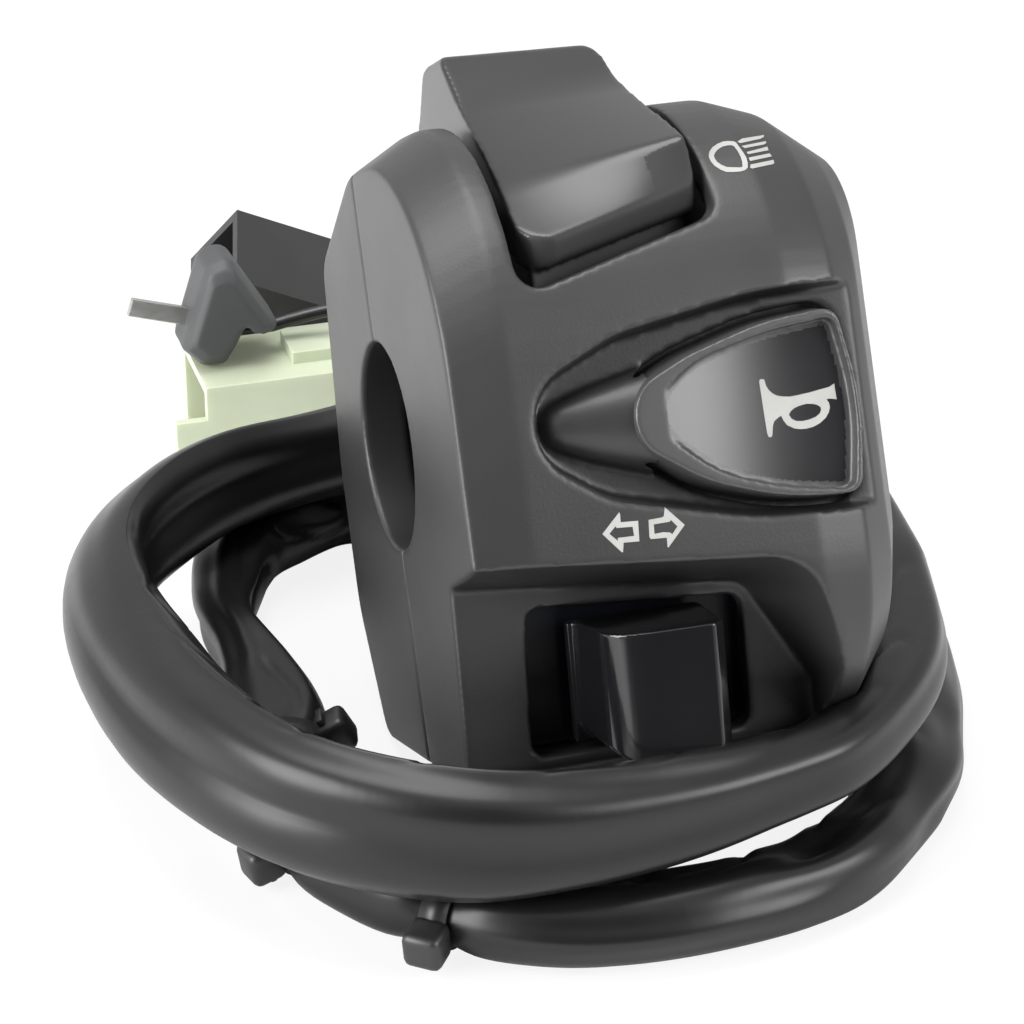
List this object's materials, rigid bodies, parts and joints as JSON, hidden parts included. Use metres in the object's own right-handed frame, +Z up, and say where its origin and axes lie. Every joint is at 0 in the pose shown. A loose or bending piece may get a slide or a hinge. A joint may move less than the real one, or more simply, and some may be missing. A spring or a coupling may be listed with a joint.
{
  "type": "handlebar switch cluster",
  "caption": "Left-hand motorbike handlebar switch cluster: moulded clamp housing with dimmer rocker, horn button, turn-signal slider and a coiled sleeved harness with connectors.",
  "frame": {"origin": "middle of the handlebar clamp, on the bar axis", "axes": "+X along the bar to the rider's right end of the housing, +Z up from the table it lies on, the face with the controls looks to -Y and leans back"},
  "size_m": [0.1051, 0.1601, 0.0731],
  "materials": {
    "housing_satin": "fine satin moulded black ABS",
    "rocker_semi_gloss": "semi-gloss moulded black",
    "button_gloss": "polished moulded black",
    "tray_black": "moulded black",
    "laminate_brown": "paper laminate",
    "contact_brass": "stamped",
    "plated_steel": "zinc plated",
    "sleeve_pvc": "soft glossy PVC sleeving",
    "black_rubber": "moulded rubber",
    "lead_pvc": "extruded PVC",
    "black_nylon": "moulded nylon",
    "natural_nylon": "natural moulded nylon"
  },
  "bodies": {
    "housing": {"front_housing": "housing_satin", "rear_housing": "housing_satin", "housing_screws": "plated_steel", "dimmer_switch_base": "laminate_brown", "dimmer_terminals": "contact_brass", "horn_return_spring": "plated_steel", "horn_contact_base": "laminate_brown", "horn_terminals": "contact_brass", "turn_guide_tray": "tray_black", "turn_detent_leaf": "plated_steel", "turn_contact_base": "laminate_brown", "turn_terminals": "contact_brass", "harness_grommet": "black_rubber", "harness_coil": "sleeve_pvc", "harness_tail": "sleeve_pvc", "cable_ties": "black_nylon", "black_connector": "black_nylon", "black_connector_terminals": "contact_brass", "black_connector_leads": "lead_pvc", "natural_connector": "natural_nylon", "natural_connector_terminals": "contact_brass", "natural_connector_leads": "lead_pvc", "earth_boot": "black_rubber", "earth_terminal": "plated_steel", "earth_lead": "lead_pvc"},
    "rocker": {"dimmer_rocker": "rocker_semi_gloss", "dimmer_plunger": "contact_brass", "dimmer_plunger_spring": "plated_steel"},
    "bridge": {"dimmer_contact_bridge": "contact_brass"},
    "horn": {"horn_button": "button_gloss", "horn_contact_disc": "contact_brass"},
    "carriage": {"turn_carriage": "laminate_brown", "turn_wiper": "contact_brass", "turn_push_spring": "plated_steel"},
    "knob": {"turn_knob": "button_gloss"}
  },
  "joints": [
    {"name": "dimmer_rock", "type": "hinge", "parent": "housing", "child": "rocker", "pos_m": [-0.00365, 0.00306, 0.02386], "axis": [-1, 0, 0], "range_deg": [0, 14]},
    {"name": "dimmer_bridge_tip", "type": "hinge", "parent": "housing", "child": "bridge", "pos_m": [-0.00365, -0.00112, 0.016], "axis": [1, 0, 0], "range_deg": [0, 12]},
    {"name": "horn_press", "type": "slide", "parent": "housing", "child": "horn", "axis": [0, 0.8829, -0.4695], "range_m": [0, 0.0025], "stiffness_N_per_m": 900, "springref_m": -0.001, "deforming": ["horn_return_spring"]},
    {"name": "turn_slide", "type": "slide", "parent": "housing", "child": "carriage", "axis": [1, 0, 0], "range_m": [-0.0035, 0.0035], "deforming": ["turn_detent_leaf"]},
    {"name": "turn_cancel", "type": "slide", "parent": "carriage", "child": "knob", "axis": [0, 0.9494, -0.314], "range_m": [0, 0.0015], "stiffness_N_per_m": 700, "springref_m": -0.001, "deforming": ["turn_push_spring"]}
  ],
  "couplings": [
    {"joint": "dimmer_bridge_tip", "follows": "dimmer_rock", "ratio": 0.857}
  ]
}
